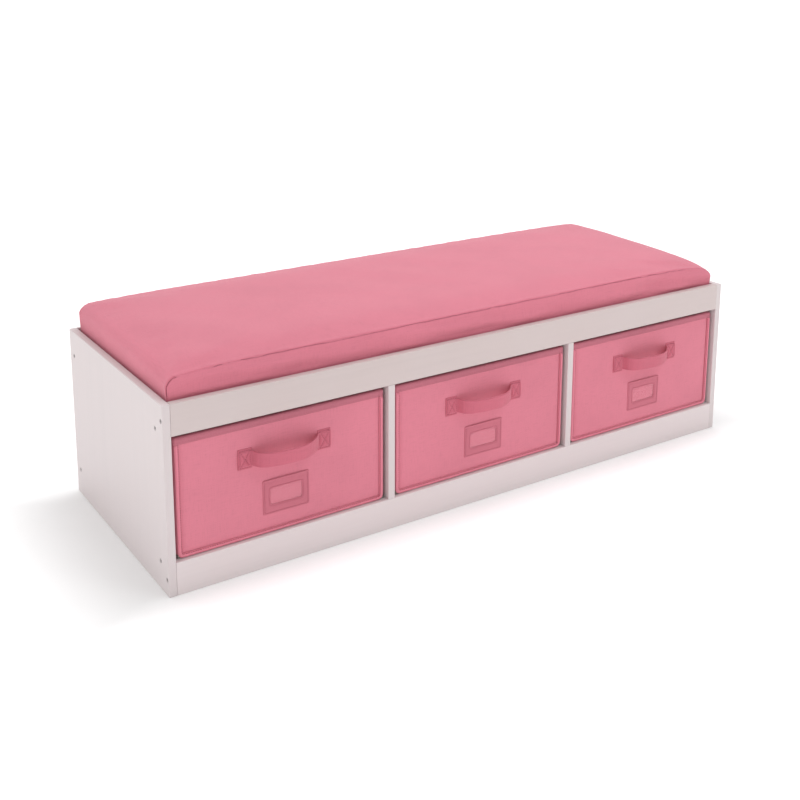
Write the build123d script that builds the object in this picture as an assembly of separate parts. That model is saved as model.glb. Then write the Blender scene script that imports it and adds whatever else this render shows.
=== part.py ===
from build123d import *
import os

# A low storage bench for a child's room. A painted wooden case has three open bays. A padded cushion
# lies in a shallow recess on top of it, and a fabric bin with a webbing handle slides out of each bay.
# Millimetres. X runs along the bench, the front faces -Y and +Z is up. The origin is on the floor, in
# the middle of the footprint of the whole bench, handles included.

# The case
LENGTH = 1100.0
DEPTH = 396.0
CASE_HEIGHT = 283.0
BOARD = 12.0
TOP_RAIL = 47.0
BOTTOM_RAIL = 50.0
BACK_BOARD = 6.0
BACK_LIFT = 6.0  # the back panel stops above the floor
BAYS = 3
EASE = 1.2  # radius that takes the sharpness off the boards' edges

# The fasteners and dowels that hold the case together
SCREW_HEAD_R = 3.6
SCREW_HEAD = 2.6
SCREW_SINK = 0.5
SCREW_R = 2.0
SCREW_LENGTH = 40.0
SOCKET_R = 1.7
SOCKET_DEPTH = 1.6
TIP = 4.0
SCREW_INSET_FRONT = 28.0
SCREW_INSET_BACK = 19.0
NAIL_HEAD_R = 1.8
NAIL_HEAD = 0.8
NAIL_R = 0.8
NAIL_LENGTH = 22.0
NAILS_IN_ROW = 6
NAIL_INSET = 60.0
DOWEL_R = 3.0
DOWEL_IN_RAIL = 8.0
DOWEL_IN_PANEL = 20.0
DOWEL_STEP = 350.0

# The cushion
CUSHION_TOP = 332.0
CUSHION_GAP = 1.5  # to the boards round the recess
LIFT_OFF = 0.3  # between two bodies that rest on each other
CUSHION_TOP_R = 14.0
CUSHION_CORNER_R = 8.0
CUSHION_CLOTH = 1.0
ZIP_WIDTH = 8.0
ZIP_THICK = 0.8
ZIP_LENGTH = 700.0
ZIP_HEIGHT = 266.0

# The bins
BIN_WIDTH = 340.0
BIN_TOP = 229.0
BIN_SETBACK = 8.0  # the bins' faces behind the case's front
BIN_GAP_BACK = 4.0
CLOTH = 1.2
WALL_BOARD = 3.0
LINING = 0.8
BASE_BOARD = 3.0
BASE_GAP = 1.0
HEM_HEIGHT = 10.0
HEM = 0.8
EDGING_WIDTH = 7.0
EDGING = 1.5
EDGING_R = 9.0

# The handles and label pockets on the bins
STRAP_REACH = 20.0  # how far a strap stands out in front of the case
STRAP_WIDTH = 23.0
STRAP = 2.0
STRAP_HALF = 54.0  # from the strap's middle to where it leaves the bin
STRAP_HEIGHT = 175.0
PATCH_WIDTH = 22.0
PATCH_HEIGHT = 31.0
PATCH = 1.0
LABEL_WIDTH = 76.0
LABEL_HEIGHT = 54.0
LABEL_MIDDLE = 107.0
LABEL = 1.2
WINDOW_WIDTH = 52.0
WINDOW_HEIGHT = 25.0
WINDOW = 0.5

# Planes and places that follow from the sizes above
SIDE = LENGTH / 2
INNER = SIDE - BOARD
FRONT = -(DEPTH - STRAP_REACH) / 2
BACK = FRONT + DEPTH
RAIL_BACK = FRONT + BOARD
BACK_FACE = BACK - BACK_BOARD
SEAT_UNDER = CASE_HEIGHT - TOP_RAIL
SEAT_TOP = SEAT_UNDER + BOARD
SHELF_TOP = BOTTOM_RAIL
SHELF_UNDER = SHELF_TOP - BOARD
BAY_WIDTH = (2 * INNER - (BAYS - 1) * BOARD) / BAYS
BAY_PITCH = BAY_WIDTH + BOARD
BAY_NAMES = ("left", "middle", "right")
BAY_MIDDLES = [(i - (BAYS - 1) / 2) * BAY_PITCH for i in range(BAYS)]
DIVIDER_MIDDLES = [-BAY_PITCH / 2, BAY_PITCH / 2]
BIN_FRONT = FRONT + BIN_SETBACK
BIN_BACK = BACK_FACE - BIN_GAP_BACK
BIN_UNDER = SHELF_TOP + LIFT_OFF
BIN_SIDE = BIN_WIDTH / 2


def block(x0, x1, y0, y1, z0, z1):
    """The box between two corners."""
    middle = Pos((x0 + x1) / 2, (y0 + y1) / 2, (z0 + z1) / 2)
    return middle * Box(x1 - x0, y1 - y0, z1 - z0)


def ring(x, y0, y1, z0, z1, wall):
    """Four upright walls round a rectangle that is 2 * x wide, as one solid open above and below."""
    outside = block(-x, x, y0, y1, z0, z1)
    return outside - block(wall - x, x - wall, y0 + wall, y1 - wall, z0, z1)


def tray(x, y0, y1, z0, z1, sheet):
    """Four separate wall sheets and a floor sheet, edge to edge, open above."""
    return [
        block(-x, x, y0, y0 + sheet, z0, z1),
        block(-x, x, y1 - sheet, y1, z0, z1),
        block(-x, sheet - x, y0 + sheet, y1 - sheet, z0, z1),
        block(x - sheet, x, y0 + sheet, y1 - sheet, z0, z1),
        block(sheet - x, x - sheet, y0 + sheet, y1 - sheet, z0, z0 + sheet),
    ]


def eased(board, axis):
    """A board with its edges along one axis slightly rounded."""
    return fillet(board.edges().filter_by(axis), EASE)


def headed(head_r, head, shank_r, length, sink):
    """The outer shape of a screw or nail that points down -Z, with its head sunk below z = 0."""
    neck = sink + head
    shape = Pos(0, 0, -sink - head / 2) * Cylinder(head_r, head)
    shape += Pos(0, 0, -(neck + length - TIP) / 2) * Cylinder(shank_r, length - TIP - neck)
    shape += Pos(0, 0, TIP / 2 - length) * Cone(shank_r / 4, shank_r, TIP)
    return shape


def screw():
    """A cap screw with a hexagon socket."""
    body = headed(SCREW_HEAD_R, SCREW_HEAD, SCREW_R, SCREW_LENGTH, SCREW_SINK)
    socket = extrude(RegularPolygon(SOCKET_R, 6), SCREW_SINK + SOCKET_DEPTH, dir=(0, 0, -1))
    return body - socket


def screw_hole():
    """What a screw takes out of the boards: its own shape, and the pocket above its head."""
    body = headed(SCREW_HEAD_R, SCREW_HEAD, SCREW_R, SCREW_LENGTH, SCREW_SINK)
    return body + Pos(0, 0, -SCREW_SINK / 2) * Cylinder(SCREW_HEAD_R, SCREW_SINK)


def nail():
    """A flat-headed nail, flush with the board."""
    return headed(NAIL_HEAD_R, NAIL_HEAD, NAIL_R, NAIL_LENGTH, 0)


def placed(shape, places):
    """Copies of a shape, one on each plane."""
    return [place.location * shape for place in places]


def end_screw_places(side):
    """Six screws in an end panel: one into each front rail, two into the seat and two into the shelf."""
    seat_middle = SEAT_TOP - BOARD / 2
    shelf_middle = SHELF_TOP - BOARD / 2
    rail_middle = FRONT + BOARD / 2
    spots = [(rail_middle, CASE_HEIGHT - TOP_RAIL / 2), (rail_middle, BOTTOM_RAIL / 2)]
    for z in (seat_middle, shelf_middle):
        spots.append((FRONT + SCREW_INSET_FRONT, z))
        spots.append((BACK - SCREW_INSET_BACK, z))
    return [Plane(origin=(side * SIDE, y, z), z_dir=(side, 0, 0)) for y, z in spots]


def divider_screw_places(z, up):
    """Two screws for each divider, through a flat panel whose free face is at z."""
    ys = (FRONT + 3 * SCREW_INSET_FRONT, BACK - 3 * SCREW_INSET_FRONT)
    return [Plane(origin=(x, y, z), z_dir=(0, 0, up)) for x in DIVIDER_MIDDLES for y in ys]


def nail_places():
    """Nails through the back panel: a row into the seat panel, one into the shelf, two in each divider."""
    step = 2 * (INNER - NAIL_INSET) / (NAILS_IN_ROW - 1)
    row = [NAIL_INSET - INNER + i * step for i in range(NAILS_IN_ROW)]
    spots = [(x, z) for z in (SEAT_TOP - BOARD / 2, SHELF_TOP - BOARD / 2) for x in row]
    third = (SEAT_UNDER - SHELF_TOP) / 3
    spots += [(x, SHELF_TOP + i * third) for x in DIVIDER_MIDDLES for i in (1, 2)]
    return [Plane(origin=(x, BACK, z), z_dir=(0, 1, 0)) for x, z in spots]


def dowels(z):
    """Three dowels that line a front rail up with the panel behind it."""
    peg = Cylinder(DOWEL_R, DOWEL_IN_RAIL + DOWEL_IN_PANEL, rotation=(90, 0, 0))
    y = RAIL_BACK + (DOWEL_IN_PANEL - DOWEL_IN_RAIL) / 2
    return [Pos(x, y, z) * peg for x in (-DOWEL_STEP, 0, DOWEL_STEP)]


def end_panel(side):
    """A solid end of the case, which stands on the floor."""
    x0, x1 = sorted((side * INNER, side * SIDE))
    panel = block(x0, x1, FRONT, BACK, 0, CASE_HEIGHT)
    return fillet(panel.edges(), EASE)


def front_rail(z0, z1):
    """A rail across the front, from end panel to end panel."""
    return eased(block(-INNER, INNER, FRONT, RAIL_BACK, z0, z1), Axis.X)


def flat_panel(z0):
    """The seat panel or the bottom shelf, behind its rail."""
    return block(-INNER, INNER, RAIL_BACK, BACK_FACE, z0, z0 + BOARD)


def divider(x):
    """An upright board between two bays, flush with the rails."""
    board = block(x - BOARD / 2, x + BOARD / 2, FRONT, BACK_FACE, SHELF_TOP, SEAT_UNDER)
    front_edges = board.edges().filter_by(Axis.Z).group_by(Axis.Y)[0]
    return fillet(front_edges, EASE)


def case():
    """The boards, drilled for their screws, nails and dowels, and those fasteners."""
    left = placed(screw(), end_screw_places(-1))
    right = placed(screw(), end_screw_places(1))
    upper = placed(screw(), divider_screw_places(SEAT_TOP, 1))
    lower = placed(screw(), divider_screw_places(SHELF_UNDER, -1))
    nails = placed(nail(), nail_places())
    seat_dowels = dowels(SEAT_TOP - BOARD / 2)
    shelf_dowels = dowels(SHELF_TOP - BOARD / 2)
    ends = end_screw_places(-1) + end_screw_places(1)
    holes = {
        "ends": placed(screw_hole(), ends),
        "upper": placed(screw_hole(), divider_screw_places(SEAT_TOP, 1)),
        "lower": placed(screw_hole(), divider_screw_places(SHELF_UNDER, -1)),
    }
    nodes = {
        "end_panel_left": end_panel(-1) - holes["ends"],
        "end_panel_right": end_panel(1) - holes["ends"],
        "front_top_rail": front_rail(SEAT_UNDER, CASE_HEIGHT) - holes["ends"] - seat_dowels,
        "front_bottom_rail": front_rail(0, BOTTOM_RAIL) - holes["ends"] - shelf_dowels,
        "seat_panel": flat_panel(SEAT_UNDER) - holes["ends"] - holes["upper"] - nails - seat_dowels,
        "bottom_shelf": flat_panel(SHELF_UNDER) - holes["ends"] - holes["lower"] - nails - shelf_dowels,
        "back_panel": block(-INNER, INNER, BACK_FACE, BACK, BACK_LIFT, CASE_HEIGHT) - nails,
        "end_screws_left": left,
        "end_screws_right": right,
        "divider_screws_upper": upper,
        "divider_screws_lower": lower,
        "seat_rail_dowels": seat_dowels,
        "shelf_rail_dowels": shelf_dowels,
        "back_panel_nails": nails,
    }
    for name, x in zip(("left", "right"), DIVIDER_MIDDLES):
        nodes["divider_" + name] = divider(x) - holes["upper"] - holes["lower"] - nails
    return nodes


def cushion_form(inset):
    """The cushion's outside, or that outside moved in by the cover's thickness."""
    side = INNER - CUSHION_GAP - inset
    y0 = RAIL_BACK + CUSHION_GAP + inset
    y1 = BACK_FACE - CUSHION_GAP - ZIP_THICK - inset
    form = block(-side, side, y0, y1, SEAT_TOP + LIFT_OFF + inset, CUSHION_TOP - inset)
    form = fillet(form.edges().filter_by(Axis.Z), CUSHION_CORNER_R - inset)
    return fillet(form.edges().group_by(Axis.Z)[-1], CUSHION_TOP_R - inset)


def cushion():
    """A foam block in a sewn cover, with a zip along the cover's back."""
    foam = cushion_form(CUSHION_CLOTH)
    y = BACK_FACE - CUSHION_GAP - ZIP_THICK
    half = ZIP_LENGTH / 2
    tape = block(-half, half, y, y + ZIP_THICK, ZIP_HEIGHT - ZIP_WIDTH / 2, ZIP_HEIGHT + ZIP_WIDTH / 2)
    return {"cushion_foam": foam, "cushion_cover": cushion_form(0) - foam, "cushion_zip": tape}


def bin_edging(y):
    """The bound edge round a bin's front or back panel: both sides and the bottom, with round corners."""
    outline = Pos(0, (BIN_TOP - HEM_HEIGHT + BIN_UNDER) / 2) * Rectangle(
        BIN_WIDTH, BIN_TOP - HEM_HEIGHT - BIN_UNDER
    )
    outline = fillet(outline.vertices().group_by(Axis.Y)[0], EDGING_R)
    inside = Pos(0, (BIN_TOP + BIN_UNDER) / 2 + EDGING_WIDTH) * Rectangle(
        BIN_WIDTH - 2 * EDGING_WIDTH, BIN_TOP - BIN_UNDER
    )
    inside = fillet(inside.vertices().group_by(Axis.Y)[0], EDGING_R - EDGING_WIDTH)
    return Pos(0, y, 0) * extrude(Plane.XZ * (outline - inside), EDGING, dir=(0, -1, 0))


def bin_hem():
    """The binding folded over the bin's rim, as one closed band."""
    wall = CLOTH + WALL_BOARD + LINING
    over = ring(
        BIN_SIDE + HEM,
        BIN_FRONT - HEM,
        BIN_BACK + HEM,
        BIN_TOP - HEM_HEIGHT,
        BIN_TOP + HEM,
        wall + 2 * HEM,
    )
    return over - ring(BIN_SIDE, BIN_FRONT, BIN_BACK, BIN_UNDER, BIN_TOP, wall)


def bow(half, rise):
    """The flat area between a strap's chord and its arc, seen from above."""
    arc = ThreePointArc((-half, 0), (0, -rise), (half, 0))
    return make_face(arc + Line((half, 0), (-half, 0)))


def bin_handle():
    """A webbing strap that stands out in a bow, with a flat tab at each end on the bin's face."""
    rise = STRAP_REACH + BIN_SETBACK
    profile = bow(STRAP_HALF, rise) - bow(STRAP_HALF - STRAP, rise - STRAP)
    for side in (-1, 1):
        middle = side * (STRAP_HALF - STRAP + PATCH_WIDTH / 2 + STRAP / 2)
        profile += Pos(middle, -STRAP / 2) * Rectangle(PATCH_WIDTH + STRAP, STRAP)
    strap = extrude(profile, STRAP_WIDTH)
    return Pos(0, BIN_FRONT, STRAP_HEIGHT - STRAP_WIDTH / 2) * strap


def bin_patches(strap):
    """Two patches sewn over the strap's tabs."""
    patches = []
    for side in (-1, 1):
        x0, x1 = sorted((side * STRAP_HALF, side * (STRAP_HALF + PATCH_WIDTH)))
        z0 = STRAP_HEIGHT - PATCH_HEIGHT / 2
        patch = block(x0, x1, BIN_FRONT - STRAP - PATCH, BIN_FRONT, z0, z0 + PATCH_HEIGHT)
        patches.append(patch - strap)
    return patches


def bin_label():
    """The label pocket's cloth frame, and the clear sheet in its window."""
    x = LABEL_WIDTH / 2
    frame = block(
        -x, x, BIN_FRONT - LABEL, BIN_FRONT, LABEL_MIDDLE - LABEL_HEIGHT / 2, LABEL_MIDDLE + LABEL_HEIGHT / 2
    )
    half = WINDOW_WIDTH / 2
    z0 = LABEL_MIDDLE - WINDOW_HEIGHT / 2
    frame -= block(-half, half, BIN_FRONT - LABEL, BIN_FRONT, z0, z0 + WINDOW_HEIGHT)
    sheet = block(-half, half, BIN_FRONT - WINDOW, BIN_FRONT, z0, z0 + WINDOW_HEIGHT)
    return frame, sheet


def bin_walls():
    """The outer cloth, the stiff wall boards, the lining and the loose base board."""
    inset = CLOTH + WALL_BOARD
    cover = tray(BIN_SIDE, BIN_FRONT, BIN_BACK, BIN_UNDER, BIN_TOP, CLOTH)
    boards = tray(
        BIN_SIDE - CLOTH, BIN_FRONT + CLOTH, BIN_BACK - CLOTH, BIN_UNDER + CLOTH, BIN_TOP, WALL_BOARD
    )[:4]
    lining = tray(
        BIN_SIDE - inset, BIN_FRONT + inset, BIN_BACK - inset, BIN_UNDER + CLOTH, BIN_TOP, LINING
    )
    inset += LINING + BASE_GAP
    z0 = BIN_UNDER + CLOTH + LINING + LIFT_OFF
    x = BIN_SIDE - inset
    base = block(-x, x, BIN_FRONT + inset, BIN_BACK - inset, z0, z0 + BASE_BOARD)
    return {"cover": cover, "wall_boards": boards, "lining": lining, "base_board": base}


def storage_bin():
    """All the pieces of one bin, with its middle at x = 0."""
    strap = bin_handle()
    frame, sheet = bin_label()
    pieces = bin_walls()
    pieces["hem"] = bin_hem()
    pieces["edging"] = [bin_edging(BIN_FRONT), bin_edging(BIN_BACK + EDGING)]
    pieces["handle"] = strap
    pieces["handle_patches"] = bin_patches(strap)
    pieces["label_pocket"] = frame
    pieces["label_window"] = sheet
    return pieces


def as_list(shape):
    """One shape or several, as a list."""
    return list(shape) if isinstance(shape, (list, tuple)) else [shape]


def write(name, shape):
    """Writes a node's solids to its STEP file."""
    solids = [solid for piece in as_list(shape) for solid in piece.solids()]
    node = solids[0] if len(solids) == 1 else Compound(children=solids)
    node.label = name
    export_step(node, f"parts/{name}.step")


def main():
    os.makedirs("parts", exist_ok=True)
    nodes = {**case(), **cushion()}
    pieces = storage_bin()
    for bay, x in zip(BAY_NAMES, BAY_MIDDLES):
        for name, shape in pieces.items():
            nodes[f"bin_{bay}_{name}"] = [Pos(x, 0, 0) * piece for piece in as_list(shape)]
    for name, shape in nodes.items():
        write(name, shape)


main()
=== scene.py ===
import math

import bmesh
import bpy
import numpy as np
from mathutils import Matrix, Vector


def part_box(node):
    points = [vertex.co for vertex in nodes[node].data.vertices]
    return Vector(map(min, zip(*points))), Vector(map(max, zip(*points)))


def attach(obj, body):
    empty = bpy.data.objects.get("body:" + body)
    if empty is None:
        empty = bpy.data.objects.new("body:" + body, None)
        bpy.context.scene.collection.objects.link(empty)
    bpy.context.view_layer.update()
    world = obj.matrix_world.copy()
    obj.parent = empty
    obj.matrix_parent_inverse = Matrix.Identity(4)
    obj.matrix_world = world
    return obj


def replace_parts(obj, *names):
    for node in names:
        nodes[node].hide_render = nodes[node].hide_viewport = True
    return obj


# The looks of a low storage bench: a white painted case, a padded seat cushion, and three fabric bins
# with webbing handles. Metres, in the CAD part's own frame: X along the bench, front -Y, +Z up.

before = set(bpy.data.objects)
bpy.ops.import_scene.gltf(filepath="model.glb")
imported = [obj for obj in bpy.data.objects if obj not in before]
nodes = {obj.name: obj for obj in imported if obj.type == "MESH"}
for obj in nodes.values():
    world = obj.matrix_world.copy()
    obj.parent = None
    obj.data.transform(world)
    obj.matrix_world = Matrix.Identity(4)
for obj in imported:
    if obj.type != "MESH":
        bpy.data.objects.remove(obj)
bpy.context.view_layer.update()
MM = 0.001

# Sizes that the soft pieces share with the CAD part
CLOTH = 1.2 * MM
WALL_BOARD = 3.0 * MM
LINING = 0.8 * MM
HEM_HEIGHT = 10.0 * MM
EDGING_WIDTH = 7.0 * MM
EDGING_R = 9.0 * MM
STRAP = 2.0 * MM
STRAP_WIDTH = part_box("bin_left_handle")[1].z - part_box("bin_left_handle")[0].z
PATCH_SPAN = 22 * MM

EDGING_PUFF = 2.2 * MM  # the rolled edging stands a little fuller than the CAD part's flat one
CORNER_R = 3.5 * MM
FILM_FRONT, FILM_BACK = 0.90 * MM, 0.60 * MM
STITCH_WELD = 1e-7
TAU = 2 * math.pi
FRONTWARD = np.array([0, -1.0, 0])
BAYS = ("left", "middle", "right")


# ---------------------------------------------------------------- meshes


def placed(name, data):
    """A new object in the scene."""
    made = bpy.data.objects.new(name, data)
    bpy.context.scene.collection.objects.link(made)
    return made


def quads_of(ids):
    """The four-sided faces of a grid of vertex numbers."""
    return np.stack([ids[:-1, :-1], ids[1:, :-1], ids[1:, 1:], ids[:-1, 1:]], -1).reshape(-1, 4)


def run_lengths(line):
    """How far along a line each of its points is."""
    return np.concatenate([[0], np.cumsum(np.linalg.norm(np.diff(line, axis=0), axis=1))])


class Shape:
    """Grids of points gathered into one mesh, whose UV map holds the cloth's own lengths in metres."""

    def __init__(self):
        self.points, self.faces, self.uvs, self.count = [], [], [], 0

    def grid(self, points, uv=None):
        points = np.asarray(points, float)
        n, m = points.shape[:2]
        if uv is None:
            uv = cloth_lengths(points)
        index = np.arange(n * m).reshape(n, m) + self.count
        self.points.append(points.reshape(-1, 3))
        self.uvs.append(np.asarray(uv, float).reshape(-1, 2))
        self.faces.append(quads_of(index))
        self.count += n * m
        return self

    def sheet(self, top, base):
        """A thin sheet between two grids, closed round its four edges."""
        self.grid(top)
        self.grid(base)
        for edge in (np.s_[0], np.s_[-1], np.s_[:, 0], np.s_[:, -1]):
            self.grid(np.stack([top[edge], base[edge]]))

    def make(self, name, material, body, slot, weld=2e-6):
        points, uvs = np.concatenate(self.points), np.concatenate(self.uvs)
        faces = np.concatenate(self.faces)
        mesh = bpy.data.meshes.new(name)
        mesh.from_pydata(points.tolist(), [], faces.tolist())
        layer = mesh.uv_layers.new(name="Cloth")
        layer.data.foreach_set("uv", uvs[faces.ravel()].astype(np.float32).ravel())
        bm = bmesh.new()
        bm.from_mesh(mesh)
        bmesh.ops.remove_doubles(bm, verts=bm.verts, dist=weld)
        bmesh.ops.dissolve_degenerate(bm, edges=bm.edges, dist=1e-7)
        bmesh.ops.recalc_face_normals(bm, faces=bm.faces)
        bm.to_mesh(mesh)
        bm.free()
        mesh.polygons.foreach_set("use_smooth", [True] * len(mesh.polygons))
        mesh.materials.append(material)
        piece = placed(name, mesh)
        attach(piece, body)
        return piece


def cloth_lengths(points):
    """Distances along a grid's middle row and middle column, as its flat coordinates."""
    n, m = points.shape[:2]
    u, v = run_lengths(points[:, m // 2]), run_lengths(points[n // 2])
    return np.stack(np.meshgrid(u, v, indexing="ij"), -1)


def ripple(a, b, seed, longest, shortest, count=7):
    """A smooth unevenness over two lengths, about -1 to 1, the same each run."""
    rng = np.random.RandomState(seed)
    total = 0
    for _ in range(count):
        wave, angle, phase = rng.uniform(shortest, longest), rng.uniform(0, math.pi), rng.uniform(0, TAU)
        total = total + np.sin((a * math.cos(angle) + b * math.sin(angle)) * TAU / wave + phase)
    return total / math.sqrt(2 * count)


def resample(path, step):
    """A polyline's points again, evenly spaced along it."""
    path = np.asarray(path, float)
    lengths = run_lengths(path)
    places = np.linspace(0, lengths[-1], max(2, int(round(lengths[-1] / step)) + 1))
    return np.stack([np.interp(places, lengths, path[:, k]) for k in range(path.shape[1])], -1)


def smoothed(path, rounds):
    """A polyline with its corners cut, its ends kept."""
    path = np.asarray(path, float)
    for _ in range(rounds):
        near, far = path[:-1] * 0.75 + path[1:] * 0.25, path[:-1] * 0.25 + path[1:] * 0.75
        path = np.concatenate([path[:1], np.stack([near, far], 1).reshape(-1, path.shape[1]), path[-1:]])
    return path


def sweep(shape, path, side, up, profile):
    """A closed profile of (side, up) offsets carried along a path, and closed at both ends."""
    side, up = np.broadcast_to(side, path.shape)[:, None], np.broadcast_to(up, path.shape)[:, None]
    rows = path[:, None] + profile[None, :, :1] * side + profile[None, :, 1:] * up
    ends = [np.repeat(rows[i].mean(0)[None], rows.shape[1], 0)[None] for i in (0, -1)]
    return shape.grid(np.concatenate([ends[0], rows, ends[1]]))


def tangents(path, closed=False):
    if closed:
        step = np.roll(path, -1, 0) - np.roll(path, 1, 0)
    else:
        step = np.gradient(path, axis=0)
    return step / np.linalg.norm(step, axis=1)[:, None]


def level_normals(row):
    """The level directions that point out of a closed outline."""
    step = tangents(row[:-1], closed=True)
    step = np.concatenate([step, step[:1]])
    return np.stack([step[:, 1], -step[:, 0], 0 * step[:, 0]], -1)


# A stitch, ring by ring: the share along it, the share of its thickness, and its lift in radii.
STITCH_RINGS = ((0, 0, -0.6), (0.12, 0.75, 0), (0.5, 1, 0.35), (0.88, 0.75, 0), (1, 0, -0.6))


def stitch_line(shape, line, normals, pitch=4.2 * MM, length=3.0 * MM, radius=0.38 * MM, sink=0.1 * MM):
    """A row of single stitches along a line on a surface, each a short plump thread."""
    line, normals = np.asarray(line, float), np.asarray(normals, float)
    if normals.ndim == 1:
        normals = np.repeat(normals[None], len(line), 0)
    lengths = run_lengths(line)
    count = int(lengths[-1] / pitch)
    if count < 1:
        return
    middles = (np.arange(count) + 0.5) * lengths[-1] / count

    def at(values, s):
        return np.stack([np.interp(s, lengths, values[:, k]) for k in range(3)], -1)

    start, end = at(line, middles - length / 2), at(line, middles + length / 2)
    out = at(normals, middles)
    out /= np.linalg.norm(out, axis=1)[:, None]
    along = end - start
    along /= np.linalg.norm(along, axis=1)[:, None] + 1e-12
    side = np.cross(along, out)
    turn = np.linspace(0, TAU, 7)
    outline = side[:, None] * np.cos(turn)[None, :, None] + out[:, None] * np.sin(turn)[None, :, None]
    rings = []
    for t, thick, lift in STITCH_RINGS:
        middle = (start + (end - start) * t)[:, None] + out[:, None] * (lift * radius - sink)
        rings.append(middle + outline * (radius * thick))
    for stitch in np.stack(rings, 1):
        shape.grid(stitch)


# ---------------------------------------------------------------- materials


class Maker:
    """A material and short ways to add nodes to it."""

    def __init__(self, name, colour, roughness, **sockets):
        self.material = bpy.data.materials.new(name)
        self.material.use_nodes = True
        self.tree = self.material.node_tree
        self.tree.nodes.clear()
        self.shader = self.add("ShaderNodeBsdfPrincipled")
        output = self.add("ShaderNodeOutputMaterial")
        self.tree.links.new(self.shader.outputs["BSDF"], output.inputs["Surface"])
        self.shader.inputs["Base Color"].default_value = (*colour, 1)
        self.shader.inputs["Roughness"].default_value = roughness
        for socket, value in sockets.items():
            self.shader.inputs[socket.replace("_", " ")].default_value = value

    def add(self, kind, **settings):
        node = self.tree.nodes.new(kind)
        for key, value in settings.items():
            setattr(node, key, value)
        return node

    def feed(self, socket, value):
        if isinstance(value, bpy.types.NodeSocket):
            self.tree.links.new(value, socket)
        else:
            socket.default_value = value

    def math(self, operation, a, b=0.0, c=0.0):
        node = self.add("ShaderNodeMath", operation=operation)
        for socket, value in zip(node.inputs, (a, b, c)):
            self.feed(socket, value)
        return node.outputs[0]

    def cloth(self):
        """The cloth's own lengths, in metres."""
        return self.add("ShaderNodeUVMap", uv_map="Cloth").outputs[0]

    def place(self):
        return self.add("ShaderNodeTexCoord").outputs["Object"]

    def node(self, kind, output, inputs, **settings):
        """Adds a node, feeds its inputs and gives one of its outputs."""
        node = self.add(kind, **settings)
        for name, value in inputs.items():
            self.feed(node.inputs[name], value)
        return node.outputs[output]

    def scaled(self, vector, scale):
        return self.node("ShaderNodeMapping", "Vector", {"Vector": vector, "Scale": scale})

    def noise(self, vector, scale, detail=3.0, roughness=0.5):
        inputs = {"Vector": vector, "Scale": scale, "Detail": detail, "Roughness": roughness}
        return self.node("ShaderNodeTexNoise", "Fac", inputs)

    def wave(self, vector, direction):
        inputs = {"Vector": vector, "Scale": 1.0, "Distortion": 0.6, "Detail": 1.0, "Detail Scale": 1.5}
        return self.node("ShaderNodeTexWave", "Fac", inputs, bands_direction=direction)

    def colours(self, fac, *stops):
        node = self.add("ShaderNodeValToRGB")
        self.feed(node.inputs["Fac"], fac)
        ramp = node.color_ramp.elements
        while len(ramp) < len(stops):
            ramp.new(0.5)
        for element, (place, colour) in zip(ramp, stops):
            element.position = place
            element.color = (*colour, 1)
        return node.outputs["Color"]

    def mix(self, fac, a, b, blend="MIX"):
        node = self.add("ShaderNodeMix", data_type="RGBA", blend_type=blend)
        self.feed(node.inputs[0], fac)
        for socket, value in zip((node.inputs[6], node.inputs[7]), (a, b)):
            self.feed(socket, value if isinstance(value, bpy.types.NodeSocket) else (*value, 1))
        return node.outputs[2]

    def spread(self, value, low, high):
        """Takes 0 to 1 to low to high."""
        return self.node("ShaderNodeMapRange", "Result", {"Value": value, "To Min": low, "To Max": high})

    def bump(self, height, distance, strength=1.0):
        inputs = {"Height": height, "Distance": distance, "Strength": strength}
        return self.node("ShaderNodeBump", "Normal", inputs)

    def done(self, colour=None, roughness=None, normal=None):
        for name, value in (("Base Color", colour), ("Roughness", roughness), ("Normal", normal)):
            if value is not None:
                self.feed(self.shader.inputs[name], value)
        return self.material


def tone(colour, share):
    return tuple(min(1.0, c * share) for c in colour)


WAVE_PERIOD = 0.314  # how often a wave texture of scale 1 repeats along its direction, about


def woven(name, colour, thread, depth, sheen=0.35, roughness=0.85, mottle=0.05, rib=1.0):
    """Plain-woven cloth. thread is its threads' pitch; rib above 1 makes the crossing threads coarser."""
    maker = Maker(name, colour, roughness, Sheen_Weight=sheen, Sheen_Roughness=0.4, Specular_IOR_Level=0.25)
    maker.shader.inputs["Sheen Tint"].default_value = (1.0, 0.93, 0.95, 1)
    flat = maker.cloth()
    slub = maker.noise(maker.scaled(flat, (1 / (thread * 30), 1 / (thread * 2), 1)), 1.0, 2.0)
    slub_across = maker.noise(maker.scaled(flat, (1 / (thread * 2), 1 / (thread * 30), 1)), 1.0, 2.0)
    warp = maker.wave(maker.scaled(flat, (WAVE_PERIOD / thread,) * 3), "X")
    weft = maker.wave(maker.scaled(flat, (WAVE_PERIOD / (thread * rib),) * 3), "Y")
    over = maker.math("MULTIPLY", warp, weft)
    threads = maker.math("ADD", maker.math("MAXIMUM", warp, weft), maker.math("MULTIPLY", over, -0.5))
    uneven = maker.math("ADD", maker.math("MULTIPLY", slub, 0.5), maker.math("MULTIPLY", slub_across, 0.5))
    height = maker.math("MULTIPLY_ADD", uneven, 0.8, threads)
    broad = maker.noise(maker.place(), 9.0, 3.0, 0.55)
    base = maker.colours(
        broad, (0.3, tone(colour, 1 - mottle)), (0.5, colour), (0.72, tone(colour, 1 + mottle * 0.7))
    )
    yarn = maker.colours(uneven, (0.36, (0.93, 0.91, 0.92)), (0.52, (1, 1, 1)), (0.66, (1.0, 0.98, 0.985)))
    shade = maker.mix(1.0, base, yarn, "MULTIPLY")
    # Painted shade: the hollows between the threads are darkened.
    hollow_shade = maker.mix(maker.spread(threads, 0.16, 0.0), shade, tone(colour, 0.55))
    rough = maker.spread(uneven, roughness - 0.08, min(1.0, roughness + 0.1))
    return maker.done(hollow_shade, rough, maker.bump(height, depth))


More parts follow.
